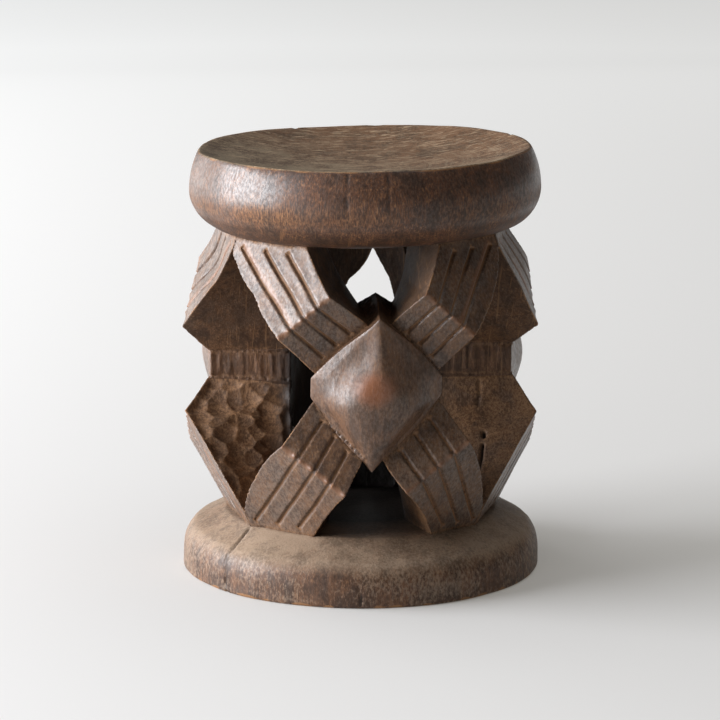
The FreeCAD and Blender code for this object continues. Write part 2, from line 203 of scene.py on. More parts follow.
def normals_of(points, faces):
    """Vertex normals of a mesh that isn't made yet."""
    mesh = bpy.data.meshes.new("draft")
    mesh.from_pydata(points, [], faces)
    normals = np.empty(3 * len(points), np.float32)
    mesh.vertices.foreach_get("normal", normals)
    bpy.data.meshes.remove(mesh)
    return normals.reshape(-1, 3).astype(float)


def make_piece(name, points, faces, masks, material, share):
    """A piece from points in millimetres, with its masks, thinned to a share of its faces."""
    mesh = bpy.data.meshes.new(name)
    mesh.from_pydata(points * MM, [], faces)
    for mask, values in masks.items():
        layer = mesh.attributes.new(mask, "FLOAT", "POINT")
        layer.data.foreach_set("value", values.astype(np.float32))
    mesh.materials.append(material)
    piece = bpy.data.objects.new(name, mesh)
    bpy.context.scene.collection.objects.link(piece)
    thinned = piece.modifiers.new("thinned", "DECIMATE")
    thinned.ratio = share
    drawn = piece.evaluated_get(bpy.context.evaluated_depsgraph_get())
    piece.data = bpy.data.meshes.new_from_object(drawn)
    piece.modifiers.clear()
    bpy.data.meshes.remove(mesh)
    piece.data.shade_smooth()
    return piece


class Shade:
    """One value of a material's node tree. Arithmetic on it adds Math nodes."""

    def __init__(self, tree, socket=None):
        self.tree = tree
        self.socket = socket

    def node(self, kind, settings, inputs, output=0):
        """Adds a node, its settings first, and gives back one of its outputs."""
        made = self.tree.nodes.new(kind)
        for setting, value in settings.items():
            setattr(made, setting, value)
        for name, value in inputs.items():
            if isinstance(value, Shade):
                self.tree.links.new(value.socket, made.inputs[name])
            else:
                made.inputs[name].default_value = value
        return Shade(self.tree, made.outputs[output])

    def maths(self, operation, first, second):
        """One Math node."""
        return self.node("ShaderNodeMath", {"operation": operation}, {0: first, 1: second})

    def __add__(self, other):
        return self.maths("ADD", self, other)

    def __radd__(self, other):
        return self.maths("ADD", other, self)

    def __sub__(self, other):
        return self.maths("SUBTRACT", self, other)

    def __rsub__(self, other):
        return self.maths("SUBTRACT", other, self)

    def __mul__(self, other):
        return self.maths("MULTIPLY", self, other)

    def __rmul__(self, other):
        return self.maths("MULTIPLY", other, self)


def noise(place, scale, detail, rough=0.6):
    """A cloudy pattern from 0 to 1; scale counts its waves in a metre."""
    inputs = {"Vector": place, "Scale": scale, "Detail": detail, "Roughness": rough}
    return place.node("ShaderNodeTexNoise", {}, inputs)


def band(value, low, high):
    """0 where the value is low, 1 where it is high, smooth in between."""
    inputs = {"Value": value, "From Min": low, "From Max": high}
    return value.node("ShaderNodeMapRange", {"interpolation_type": "SMOOTHSTEP"}, inputs)


def toned(under, over, share):
    """A colour laid over another."""
    return share.node("ShaderNodeMix", {"data_type": "RGBA"}, {0: share, 6: under, 7: over}, 2)


def stretched(place, scale, turn=(0.0, 0.0, 0.0)):
    """The same place, pulled out along an axis."""
    return place.node("ShaderNodeMapping", {}, {"Vector": place, "Rotation": turn, "Scale": scale})


def wood(name, heart, dark, tan, grey, rubbed, cut, fleck, gloss, polish):
    """Old handled hardwood with its grain along the log.

    It is brown heartwood with dark dashes and tan flecks, filmed with grey where it is dry, rubbed through on
    its edges and of a colour of its own in its cuts. fleck is the strength of its figure, polish the wax that
    hands have left on it and gloss the roughness of that wax.
    """
    material = bpy.data.materials.new(name)
    material.use_nodes = True
    tree = material.node_tree
    surface = tree.nodes["Principled BSDF"]
    start = Shade(tree)
    place = start.node("ShaderNodeTexCoord", {}, {}, "Object")
    masks = {}
    for mask in ("wear", "fold", "groove", "wall", "bare", "dust_and_top_light", "joint", "inner_shade", "crack"):
        masks[mask] = start.node("ShaderNodeAttribute", {"attribute_name": mask}, {}, "Fac")

    fibre = noise(stretched(place, (1.0, 1.0, 0.22)), 820.0, 3.0, 0.6)
    streak = noise(stretched(place, (1.0, 1.0, 0.06)), 130.0, 4.0, 0.65)
    patch = noise(place, 15.0, 4.0)
    cloud = noise(place, 46.0, 4.0, 0.65)
    mottle = noise(stretched(place, (1.0, 1.0, 0.6)), 400.0, 5.0, 0.7)
    hair = noise(stretched(place, (480.0, 24.0, 24.0), (0.0, 0.9, 0.3)), 1.0, 1.0)

    colour = toned(dark, heart, band(0.35 * streak + 0.4 * cloud + 0.25 * mottle, 0.41, 0.56))
    colour = toned(colour, grey, band(0.55 * mottle + 0.45 * patch, 0.46, 0.60) * 0.5)
    dry = band(0.7 * mottle + 0.3 * cloud, 0.44, 0.58)
    colour = toned(colour, tan, masks["bare"] * (0.15 + 0.4 * dry))
    # On the seat the wall mask marks its lower band, so there this darkening is painted shade
    colour = toned(colour, dark, masks["wall"] * band(patch, 0.35, 0.65) * 0.5)
    colour = toned(colour, dark, band(fibre, 0.49, 0.62) * fleck)
    pale = band(0.6 * (1.0 - fibre) + 0.4 * mottle, 0.53, 0.63)
    colour = toned(colour, tan, pale * (0.15 + 0.75 * band(cloud, 0.45, 0.60)) * fleck)
    colour = toned(colour, tan, masks["wall"] * band(hair, 0.65, 0.71) * 0.35)
    film = band(0.35 * mottle + 0.65 * cloud, 0.40, 0.58)
    # Grey dust on upward faces, made pale enough to stand also for light falling on the top: part dust, part
    # painted light
    colour = toned(colour, grey, masks["dust_and_top_light"] * (0.5 + 0.4 * film))
    bared = band(masks["fold"] * (0.2 + 0.7 * mottle + 0.6 * cloud), 0.25, 0.75)
    colour = toned(colour, rubbed, bared * 0.8)
    colour = toned(colour, tan, masks["joint"] * band(mottle, 0.40, 0.58) * 0.7)
    scored = band(masks["groove"], 0.50, 0.72)
    worn = band(masks["wear"] * (0.75 + 0.5 * mottle), 0.62, 0.88)
    colour = toned(colour, cut, scored * 0.95)
    colour = toned(colour, tan, worn * 0.9)
    # Painted shade: the bottoms of the grooves, the cracks and the faces deep inside the cage are laid over
    # with near-black
    deep = band(masks["groove"], 0.72, 0.92) * 0.62 + masks["inner_shade"] * 0.9 + masks["crack"]
    colour = toned(colour, (0.009, 0.006, 0.005, 1.0), band(deep, 0.0, 1.0))
    tree.links.new(colour.socket, surface.inputs["Base Color"])

    rough = 0.62 + 0.30 * (mottle - 0.5) + 0.22 * (cloud - 0.5)
    tree.links.new(rough.socket, surface.inputs["Roughness"])
    surface.inputs["Specular IOR Level"].default_value = 0.25
    matte = band(masks["wall"] + masks["bare"] + masks["joint"] + scored + worn, 0.0, 1.0)
    wax = (1.0 - 0.9 * matte) * (0.45 + 0.55 * band(0.7 * mottle + 0.3 * fibre, 0.42, 0.58))
    tree.links.new((wax * polish).socket, surface.inputs["Coat Weight"])
    surface.inputs["Coat Roughness"].default_value = gloss
    relief = 0.8 * fibre + 0.8 * mottle
    bump = start.node("ShaderNodeBump", {}, {"Strength": 0.5, "Distance": 0.0008, "Height": relief})
    tree.links.new(bump.socket, surface.inputs["Normal"])
    return material


base_wood = wood(
    "base_wood",
    heart=(0.134, 0.063, 0.031, 1.0),
    dark=(0.050, 0.025, 0.014, 1.0),
    tan=(0.270, 0.140, 0.064, 1.0),
    grey=(0.330, 0.240, 0.165, 1.0),
    rubbed=(0.260, 0.120, 0.045, 1.0),
    cut=(0.110, 0.045, 0.018, 1.0),
    fleck=0.55,
    gloss=0.40,
    polish=0.5,
)
base_profile = np.vstack(
    [
        straight((0, BASE_HEIGHT), (BASE_TOP_RADIUS, BASE_HEIGHT)),
        straight((BASE_TOP_RADIUS, BASE_HEIGHT), (BASE_SHOULDER_RADIUS, BASE_SHOULDER_HEIGHT)),
        bend(
            (BASE_SHOULDER_RADIUS, BASE_SHOULDER_HEIGHT),
            (BASE_RADIUS, BASE_CORNER_HEIGHT),
            (BASE_RADIUS, BASE_SIDE_HEIGHT),
            20,
        ),
        straight((BASE_RADIUS, BASE_SIDE_HEIGHT), (BASE_RADIUS, BASE_EDGE_ROUND)),
        oval((BASE_RADIUS, BASE_EDGE_ROUND), (BASE_RADIUS, 0), (BASE_RADIUS - BASE_EDGE_ROUND, 0), 5),
        straight((BASE_RADIUS - BASE_EDGE_ROUND, 0), (0, 0)),
    ]
)
BASE_CRACK = [
    at_angle(-56.4, 134, 53),
    at_angle(-54.6, 148, 46),
    at_angle(-53.7, 158, 41),
    at_angle(-54.0, 165, 33),
    at_angle(-53.9, 168, 21),
    at_angle(-53.4, 169, 10),
    at_angle(-53.1, 168, 0),
]
BASE_FRONT_CRACK = [at_angle(-5.6, 168, 22), at_angle(-5.3, 169, 9), at_angle(-5.6, 169, 0)]

points, faces = turned_disc(base_profile)
normals = normals_of(points, faces)
side = np.clip(np.hypot(points[:, 0], points[:, 1]) / BASE_TOP_RADIUS * 4 - 3.6, 0, 1)
lift = np.clip(points[:, 2] / 6, 0, 1)
hewn, _, _ = strokes(points, BASE_STROKE, 51)
crack = np.maximum(
    crack_depth(points, BASE_CRACK, BASE_CRACK_WIDTH),
    crack_depth(points, BASE_FRONT_CRACK, BASE_FRONT_CRACK_WIDTH),
)
points -= normals * (BASE_STROKE_DEPTH * hewn * side * lift + BASE_CRACK_DEPTH * crack)[:, None]
moved = hand_wobble(points)
points[:, :2] = moved[:, :2]
points[:, 2] += (moved[:, 2] - points[:, 2]) * lift
low_edge = np.exp(-(points[:, 2] / 5) ** 2) * side
radius = np.hypot(points[:, 0], points[:, 1])
# Upward faces take grey dust, paled past dust as painted light on the lit top and shoulder
upward = np.clip(normals[:, 2] * 2.2 - 0.7, 0, 1)
masks = {
    "wear": 1.2 * low_edge * np.clip(0.6 + 0.8 * swell(points, 9, 57), 0, 1),
    "dust_and_top_light": upward * np.clip(0.8 + 0.3 * swell(points, 60, 59), 0.4, 1),
    "crack": crack,
    # Painted shade: the middle of the base top, under the cage, is darkened toward near-black
    "inner_shade": np.clip((BASE_INNER_SHADE_RADIUS - radius) / BASE_INNER_SHADE_REACH, 0, 1),
}
piece = make_piece("stool_base", points, faces, masks, base_wood, TURNED_SHARE)
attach(piece, "root")
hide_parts("base")


# Lower legs. Two to each figure, hardwood of the same log left standing between the openings and bent outward
# at an elbow. Their outer facets are pared flat and scored with three grooves, and their side walls keep the
# marks of the chisel.
FIGURES = {"front": 0.0, "rear_right": 114.0, "rear_left": 236.0}
CORE_RADIUS = 66.0
VOXEL = 1.3
TOUCH = 0.8
ROUNDINGS = 100
SUNK = 1.3
SHARP_BEND = math.radians(20)
SOFT_BEND = math.radians(60)
WALL_LEAN = 0.5
FACET_LEAN = 0.72
SNAP = 1.1
GROOVE_POINT = 4.0
GOUGE_STROKE = (19, 19, 15)
SPLIT_STROKE = (4.2, 4.2, 40)
CORE_STROKE = (15, 15, 55)
PARED_STROKE = (16, 16, 26)
CORE_DEPTH = 2.2
PARED_DEPTH = 0.35
CHIP_DEPTH = 0.6
NEIGHBOUR_REACH = 8.0
KEEN_REACH = 1.2
HANDLED_REACH = 4.0
FOLD_REACH = 4.5
EDGE_REACH = 5.0
SOFT_REACH = 16.0
CHIP_REACH = 3.0
JOINT_REACH = 2.5
JOINT_ROUNDS = 12
INNER_SHADE_RADIUS = 92.0
INNER_SHADE_REACH = 26.0
CARVED_SHARE = 0.4

solids = {}
trees = {}
for node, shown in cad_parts.items():
    solid = bmesh.new()
    solid.from_mesh(shown.data)
    bmesh.ops.remove_doubles(solid, verts=solid.verts, dist=0.002 * MM)
    solids[node] = solid
    trees[node] = BVHTree.FromBMesh(solid)


def line_tree(lines):
    """A search tree of points about a millimetre apart along the lines."""
    spots = []
    for start, end in lines:
        count = max(2, int((end - start).length / MM))
        spots += [start.lerp(end, share) for share in np.linspace(0, 1, count)]
    tree = KDTree(len(spots) + 1)
    for index, spot in enumerate(spots):
        tree.insert(spot, index)
    tree.insert(Vector((9, 9, 9)), len(spots))
    tree.balance()
    return tree


def sharp_trees(node):
    """Search trees of a node's outer edges, its facets' folds, its cuts and its walls' soft bends."""
    ridges, folds, cuts, soft = [], [], [], []
    for edge in solids[node].edges:
        bent = edge.calc_face_angle_signed(0)
        if abs(bent) > SHARP_BEND:
            ends = tuple(vertex.co for vertex in edge.verts)
            out = (ends[0] + ends[1]) * Vector((1, 1, 0))
            leans = [face.normal.dot(out) / out.length for face in edge.link_faces]
            in_wall = max(abs(lean) for lean in leans) < WALL_LEAN and abs(bent) < SOFT_BEND
            if in_wall:
                soft.append(ends)
            elif bent < 0:
                cuts.append(ends)
            elif min(leans) > FACET_LEAN:
                folds.append(ends)
            else:
                ridges.append(ends)
    shared = [end.to_tuple(5) for ends in cuts for end in ends]
    for index, (start, end) in enumerate(cuts):
        inward = (end - start).normalized() * min(GROOVE_POINT * MM, (end - start).length / 3)
        first = start + inward if shared.count(start.to_tuple(5)) == 1 else start
        last = end - inward if shared.count(end.to_tuple(5)) == 1 else end
        cuts[index] = (first, last)
    return line_tree(ridges), line_tree(folds), line_tree(cuts), line_tree(soft)


def off_lines(tree, points):
    """The nearest spot to each point on the lines of a search tree, and its distance, in millimetres."""
    found = [tree.find(Vector(point * MM)) for point in points]
    return np.array([spot for spot, _, _ in found]) / MM, np.array([away for _, _, away in found]) / MM


def neighbours(node):
    """Search trees of the nodes whose boxes touch a node's box."""
    low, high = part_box(node)
    found = []
    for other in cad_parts:
        other_low, other_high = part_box(other)
        apart = any(
            other_low[axis] > high[axis] + MM or other_high[axis] < low[axis] - MM for axis in range(3)
        )
        if other != node and not apart:
            found.append(trees[other])
    return found


def nearest_neighbour(node, points, reach):
    """Distance of each point from the node's neighbours, in millimetres, and the neighbour's normal there."""
    distance = np.full(len(points), reach)
    facing = np.zeros((len(points), 3))
    for tree in neighbours(node):
        for index, point in enumerate(points):
            spot, normal, _, away = tree.find_nearest(Vector(point * MM), reach * MM)
            if spot is not None and away / MM < distance[index]:
                distance[index] = away / MM
                facing[index] = normal
    return distance, facing


def even_mesh(node):
    """A copy of a node's solid in small even faces: its points in millimetres, faces and edges."""
    draft = bpy.data.meshes.new("draft")
    solids[node].to_mesh(draft)
    block = bpy.data.objects.new("draft", draft)
    bpy.context.scene.collection.objects.link(block)
    remesh = block.modifiers.new("even", "REMESH")
    remesh.mode = "VOXEL"
    remesh.voxel_size = VOXEL * MM
    drawn = block.evaluated_get(bpy.context.evaluated_depsgraph_get()).to_mesh()
    points = np.empty(3 * len(drawn.vertices), np.float32)
    drawn.vertices.foreach_get("co", points)
    faces = [tuple(face.vertices) for face in drawn.polygons]
    edges = np.empty(2 * len(drawn.edges), np.int32)
    drawn.edges.foreach_get("vertices", edges)
    bpy.data.objects.remove(block)
    bpy.data.meshes.remove(draft)
    return points.reshape(-1, 3).astype(float) / MM, faces, edges.reshape(-1, 2)


def relaxed(points, edges, rounds, share):
    """Points drawn toward the middle of their neighbours, which rounds edges over."""
    ends = np.concatenate([edges[:, 0], edges[:, 1]])
    others = np.concatenate([edges[:, 1], edges[:, 0]])
    count = np.bincount(ends, minlength=len(points))[:, None]
    for _ in range(rounds):
        columns = [np.bincount(ends, column, len(points)) for column in points[others].T]
        points = points + (np.stack(columns, axis=1) / count - points) * share[:, None]
    return points


def carved(node, gouging, splitting=0.0, bareness=0.0, scoring=1.8, rounding=None, splits=()):
    """A node's surface as the carver left it: edges eased and chipped, walls gouged or split, core hewn.

    gouging and splitting are the depths of the cuts on its side walls, across and along the grain, and bareness
    is how little these walls have darkened. scoring is how much deeper its grooves are cut. rounding says where
    and how far points are rubbed round. splits are cracks and holes, each a path, a width and a depth.
    """
    points, faces, edges = even_mesh(node)
    gap, facing = nearest_neighbour(node, points, NEIGHBOUR_REACH)
    touching = relaxed((gap < TOUCH).astype(float)[:, None], edges, 2, np.full(len(points), 0.5))[:, 0]
    free = 1 - touching
    distances = []
    *keen_trees, soft_tree = sharp_trees(node)
    for tree in keen_trees:
        spots, away = off_lines(tree, points)
        points = np.where((away < SNAP)[:, None], spots, points)
        distances.append(away)
    off_ridge, off_fold, off_cut = distances
    off_soft = off_lines(soft_tree, points)[1]
    rim = np.exp(-(off_cut / EDGE_REACH) ** 2)
    keen = np.exp(-(np.minimum(off_ridge, off_cut) / KEEN_REACH) ** 2)
    points = relaxed(points, edges, 2, 0.5 * free * (1 - keen))
    handled = np.exp(-(np.minimum(off_ridge, off_fold) / HANDLED_REACH) ** 2)
    handled = handled * np.clip(0.3 + 0.5 * swell(points, 22, 5), 0, 0.6)
    points = relaxed(points, edges, 4, 0.5 * free * handled * (1 - rim))
    inside = np.clip(off_ridge / EDGE_REACH - 0.4, 0, 1)
    points = relaxed(points, edges, ROUNDINGS, 0.5 * free * inside * np.exp(-(off_soft / SOFT_REACH) ** 2))
    if rounding is not None:
        weight, swelling = rounding(points)
        points = relaxed(points + swelling * free[:, None], edges, ROUNDINGS, 0.5 * free * weight)

    normals = normals_of(points, faces)
    radius = np.hypot(points[:, 0], points[:, 1])
    outward = (points[:, :2] * normals[:, :2]).sum(axis=1) / radius
    wall = np.clip((0.55 - outward) / 0.25, 0, 1)
    core = np.clip((CORE_RADIUS + 6 - radius) / 6, 0, 1) * np.clip(-outward * 2, 0, 1)
    cut, cut_edge, cut_tone = strokes(points, GOUGE_STROKE, 31)
    split, split_edge, _ = strokes(points, SPLIT_STROKE, 61)
    hewn, _, _ = strokes(points, CORE_STROKE, 71)
    pared, _, _ = strokes(points, PARED_STROKE, 41)
    chip = np.clip(swell(points, 6, 6) - 0.45, 0, 1) * np.exp(-(off_ridge / CHIP_REACH) ** 2)
    inner = 1 - np.exp(-(off_ridge / HANDLED_REACH) ** 2)
    depth = inner * wall * (1 - core) * (gouging * cut + splitting * split)
    depth += CORE_DEPTH * core * hewn + PARED_DEPTH * inner * (1 - wall) * pared + CHIP_DEPTH * chip
    depth += scoring * np.exp(-(off_cut / KEEN_REACH) ** 2)
    crack = np.zeros(len(points))
    for path, width, deep in splits:
        inside_crack = crack_depth(points, path, width)
        depth += deep * inside_crack
        crack = np.maximum(crack, inside_crack * min(1, (deep / 3) ** 2))
    points = points - normals * (depth * free)[:, None]
    joint = np.exp(-(gap / JOINT_REACH) ** 2) * free
    points = relaxed(points, edges, JOINT_ROUNDS, 0.5 * joint)

    worn = np.clip(0.85 + 0.4 * swell(points, 13, 7), 0.5, 1) * free
    lines = 0.74 * cut_edge * np.clip(gouging - 0.6, 0, 1) + 0.4 * split_edge * splitting
    on_ridge = worn * np.clip(1 - off_ridge / EDGE_REACH, 0, 1) * (1 - 0.5 * rim)
    masks = {
        "wear": np.maximum(on_ridge, free * wall * (1 - core) * lines),
        "fold": worn * np.exp(-(off_fold / FOLD_REACH) ** 2),
        "groove": np.clip(1 - off_cut / EDGE_REACH, 0, 1) * free,
        "wall": wall * (1 - bareness),
        "bare": wall * (1 - core) * bareness * (0.6 + cut_tone),
        "joint": joint,
        # Painted shade on the faces near the axis, deep inside the cage
        "inner_shade": np.clip((INNER_SHADE_RADIUS - radius) / INNER_SHADE_REACH, 0, 1),
        "crack": crack,
    }
    points = hand_wobble(points) - facing * (SUNK * touching)[:, None]
    return points, faces, masks


leg_wood = wood(
    "leg_wood",
    heart=(0.132, 0.065, 0.031, 1.0),
    dark=(0.052, 0.027, 0.015, 1.0),
    tan=(0.300, 0.160, 0.075, 1.0),
    grey=(0.140, 0.104, 0.080, 1.0),
    rubbed=(0.170, 0.072, 0.030, 1.0),
    cut=(0.200, 0.105, 0.052, 1.0),
    fleck=0.55,
    gloss=0.36,
    polish=1.0,
)
LEG_GOUGING = 0.7
LEG_BARENESS = 0.8
DEEP_GOUGING = {"rear_left_lower_right_leg": 5.0}
SPLITS = {
    "rear_right_lower_left_leg": (
        (((113, -34, 131), (113, -36, 128)), 3.2, 5.0),
        (((111, -43, 121), (108, -54, 107), (104, -66, 93)), 2.4, 4.5),
        (((113, -2, 174), (113, -7, 163), (111, -12, 152)), 3.0, 1.2),
    )
}
for figure, side in itertools.product(FIGURES, ("right", "left")):
    node = f"{figure}_lower_{side}_leg"
    gouging = DEEP_GOUGING.get(node, LEG_GOUGING)
    points, faces, masks = carved(node, gouging, bareness=LEG_BARENESS, splits=SPLITS.get(node, ()))
    piece = make_piece("stool_" + node, points, faces, masks, leg_wood, CARVED_SHARE)
    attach(piece, "root")
    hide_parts(node)


# Bosses. The pillowed diamond in the middle of each figure, with the block of the same log behind it. Hands
# have polished it: its ridges are rubbed round, all but the upper one, and its top is worn through to orange.
# The block's side walls are split off along the grain.
BOSS_HEIGHT = 196.0
BOSS_HALF_WIDTH = 60.0
BOSS_HALF_HEIGHT = 71.5
BOSS_FACE = 128.0
BOSS_SIDE = 130.0
BOSS_TIP = 158.0
BOSS_FULLNESS = 1.4
BOSS_APEXES = {"front": 168.5, "rear_right": 176.6, "rear_left": 174.1}
BOSS_TOPS = {"front": 207.0, "rear_right": 192.5, "rear_left": 192.5}
BOSS_SWELLS = {"front": 0.75, "rear_right": 0.4, "rear_left": 0.1}
BOSS_SPLITTING = 1.6
BOSS_EDGE_REACH = 4.0
WORN_HALF_WIDTH = 25.0
WORN_HALF_HEIGHT = 19.0


def in_figure(points, figure):
    """Points in a figure's own coordinates: across, outward and height."""
    turn = math.radians(FIGURES[figure])
    across = points[:, 0] * math.cos(turn) + points[:, 1] * math.sin(turn)
    outward = points[:, 0] * math.sin(turn) - points[:, 1] * math.cos(turn)
    return across, outward, points[:, 2]


def rubbed_round(figure):
    """Where hands have rubbed a boss round, and how far that swells it out between the ridges of its facets."""
    out = np.array(at_angle(FIGURES[figure], 1, 0))
    apex = BOSS_APEXES[figure]
    reach = BOSS_HALF_HEIGHT * ((apex - BOSS_SIDE) / (apex - BOSS_TIP)) ** (1 / BOSS_FULLNESS)

    def rounding(points):
        across, outward, height = in_figure(points, figure)
        edge = np.abs(across) / BOSS_HALF_WIDTH + np.abs(height - BOSS_HEIGHT) / BOSS_HALF_HEIGHT
        weight = np.clip((1.0 - edge) / 0.2, 0, 1) * np.clip((outward - BOSS_FACE) / BOSS_EDGE_REACH, 0, 1)
        middle = BOSS_HEIGHT + (BOSS_TOPS[figure] - BOSS_HEIGHT) * np.clip(1 - edge, 0, 1)
        below = np.clip((middle + 10 - height) / 24, 0, 1)
        side = np.abs(across) / BOSS_HALF_WIDTH
        rise = np.abs(height - middle) / reach
        round_side = side * (1 - np.exp(-(side / (0.10 + 0.45 * below)) ** 2))
        round_rise = rise * (1 - np.exp(-(rise / 0.09) ** 2))
        size = side + rise + BOSS_SWELLS[figure] * (round_side + round_rise - side - rise)
        full = apex - (apex - BOSS_SIDE) * size ** BOSS_FULLNESS
        ridge = np.exp(-(across / 5) ** 2) * (1 - below)
        return weight * (1 - 0.85 * ridge), out * ((full - outward) * weight)[:, None]

    return rounding


boss_wood = wood(
    "boss_wood",
    heart=(0.132, 0.064, 0.032, 1.0),
    dark=(0.060, 0.031, 0.017, 1.0),
    tan=(0.240, 0.130, 0.065, 1.0),
    grey=(0.120, 0.074, 0.046, 1.0),
    rubbed=(0.190, 0.060, 0.016, 1.0),
    cut=(0.090, 0.038, 0.015, 1.0),
    fleck=0.6,
    gloss=0.30,
    polish=1.0,
)
for figure in FIGURES:
    node = figure + "_boss"
    points, faces, masks = carved(node, 0.0, BOSS_SPLITTING, scoring=0.0, rounding=rubbed_round(figure))
    across, outward, height = in_figure(points, figure)
    face = np.clip((outward - BOSS_FACE) / BOSS_EDGE_REACH, 0, 1)
    off_top = height - BOSS_TOPS[figure] + 4
    top = np.exp(-((across + 2) / WORN_HALF_WIDTH) ** 2 - (off_top / WORN_HALF_HEIGHT) ** 2) * face
    masks["wear"] *= 1 - 0.6 * face
    masks["fold"] = np.maximum(0.25 * masks["fold"], top)
    masks["groove"] *= 0.2
    piece = make_piece("stool_" + node, points, faces, masks, boss_wood, CARVED_SHARE)
    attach(piece, "root")
    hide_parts(node)


# Upper legs. They mirror the lower ones in the same log, from the boss up to the seat, with a lower elbow on
# the two rear figures. They are pared and scored the same way, and their walls are smoother.
UPPER_GOUGING = 0.6
UPPER_INNER_SHADE = 0.45
for figure, side in itertools.product(FIGURES, ("right", "left")):
    node = f"{figure}_upper_{side}_leg"
    points, faces, masks = carved(node, UPPER_GOUGING)
    # The upper legs take less of the painted shade deep inside the cage
    masks["inner_shade"] *= UPPER_INNER_SHADE
    piece = make_piece("stool_" + node, points, faces, masks, leg_wood, CARVED_SHARE)
    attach(piece, "root")
    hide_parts(node)


# Seat. The head of the hardwood log: a thick round cushion shape with a full side, a crisp rim and a shallow
# dish cut across the end grain. Its side is polished by handling, and its dish is greyed and scratched.
SEAT_RIM_HEIGHT = 400.0
SEAT_UNDERSIDE = 326.0
SEAT_RADIUS = 164.5
SEAT_RIM_RADIUS = 155.0
SEAT_UNDERSIDE_RADIUS = 128.0
SEAT_WIDEST_HEIGHT = 362.0
SEAT_DISH_DEPTH = 24.0
SEAT_SHIFT = 4.5
SEAT_TILT = math.radians(0.8)
SEAT_HIGH_SIDE = 60.0
SEAT_STROKE = (26, 26, 70)
SEAT_STROKE_DEPTH = 0.2
SEAT_CHECK_WIDTH = 1.2
SEAT_INNER_SHADE_RADIUS = 110.0
SEAT_INNER_SHADE_REACH = 30.0
SEAT_BARE_HEIGHT = 356.0
SEAT_BARE_REACH = 12.0
SEAT_SHADE_HEIGHT = 348.0
SEAT_SHADE_REACH = 8.0
RIM_EASE = 0.7
RIM_EASE_REACH = 1.6
NICK_DEPTH = 2.4
NICK_REACH = 3.5
TICK_DEPTH = 1.6
TICK_LENGTH = 9.0
SCRATCH_TURNS = (0.3, 0.95, 1.7, 2.4)


def scratched(material):
    """Lays a dry dish over a wood where its dish mask is set.

    It is grey at the front left and browner at the back right, with faint rings of tool marks and fine pale
    scratches that cross one another.
    """
    tree = material.node_tree
    surface = tree.nodes["Principled BSDF"]
    start = Shade(tree)
    place = start.node("ShaderNodeTexCoord", {}, {}, "Object")
    dish = start.node("ShaderNodeAttribute", {"attribute_name": "dish"}, {}, "Fac")
    under = Shade(tree, surface.inputs["Base Color"].links[0].from_socket)
    x = place.node("ShaderNodeSeparateXYZ", {}, {"Vector": place}, "X")
    y = place.node("ShaderNodeSeparateXYZ", {}, {"Vector": place}, "Y")
    patch = noise(place, 26.0, 5.0, 0.65)
    speck = noise(place, 420.0, 4.0, 0.7)
    flat = stretched(place, (1.0, 1.0, 0.0))
    from_middle = place.node("ShaderNodeVectorMath", {"operation": "LENGTH"}, {0: flat}, "Value")
    ring = place.node("ShaderNodeCombineXYZ", {}, {"X": from_middle + 0.012 * patch})
    rings = noise(ring, 260.0, 3.0, 0.7)
    brown = band(x * 2.2 + y * 3.0 + 1.2 * patch, 0.30, 0.90)
    colour = toned((0.215, 0.165, 0.108, 1.0), (0.165, 0.086, 0.044, 1.0), brown)
    colour = toned(colour, (0.060, 0.036, 0.021, 1.0), band(0.5 * patch + 0.5 * speck, 0.46, 0.57) * 0.8)
    colour = toned(colour, (0.250, 0.190, 0.125, 1.0), band(rings, 0.50, 0.62) * 0.45)
    for turn in SCRATCH_TURNS:
        swept = stretched(place, (58.0, 470.0, 1.0), (0.0, 0.0, turn))
        inputs = {"Vector": swept, "Scale": 1.0, "Detail": 1.0, "Distortion": 0.9}
        lines = start.node("ShaderNodeTexNoise", {}, inputs)
        colour = toned(colour, (0.460, 0.340, 0.220, 1.0), band(lines, 0.63, 0.71) * 0.6)
    tree.links.new(toned(under, colour, dish).socket, surface.inputs["Base Color"])
    wax = Shade(tree, surface.inputs["Coat Weight"].links[0].from_socket)
    tree.links.new((wax * (1.0 - 0.75 * dish)).socket, surface.inputs["Coat Weight"])
    return material


seat_wood = scratched(
    wood(
        "seat_wood",
        heart=(0.100, 0.041, 0.019, 1.0),
        dark=(0.032, 0.015, 0.008, 1.0),
        tan=(0.250, 0.115, 0.045, 1.0),
        grey=(0.085, 0.048, 0.030, 1.0),
        rubbed=(0.300, 0.140, 0.055, 1.0),
        cut=(0.090, 0.038, 0.015, 1.0),
        fleck=0.85,
        gloss=0.31,
        polish=1.0,
    )
)
bowl = (SEAT_RIM_RADIUS ** 2 + SEAT_DISH_DEPTH ** 2) / (2 * SEAT_DISH_DEPTH)
dish_radii = np.linspace(SEAT_RIM_RADIUS, 0, round(SEAT_RIM_RADIUS / MESH_STEP))
dish_heights = SEAT_RIM_HEIGHT - SEAT_DISH_DEPTH + bowl - np.sqrt(bowl ** 2 - dish_radii ** 2)
seat_profile = np.vstack(
    [
        np.stack([dish_radii, dish_heights], axis=1)[::-1],
        bend(
            (SEAT_RIM_RADIUS, SEAT_RIM_HEIGHT),
            (SEAT_RADIUS, (SEAT_WIDEST_HEIGHT + SEAT_RIM_HEIGHT) / 2),
            (SEAT_RADIUS, SEAT_WIDEST_HEIGHT),
            22,
        ),
        oval(
            (SEAT_UNDERSIDE_RADIUS, SEAT_UNDERSIDE),
            (SEAT_RADIUS, SEAT_UNDERSIDE),
            (SEAT_RADIUS, SEAT_WIDEST_HEIGHT),
            34,
        )[::-1],
        straight((SEAT_UNDERSIDE_RADIUS, SEAT_UNDERSIDE), (0, SEAT_UNDERSIDE)),
    ]
)
SEAT_CHECKS = [
    [at_angle(angle, 156, 398), at_angle(angle + 0.6, 162, 384), at_angle(angle, 165, low)]
    for angle, low in ((-54, 366), (-11.5, 362), (1.7, 358))
]

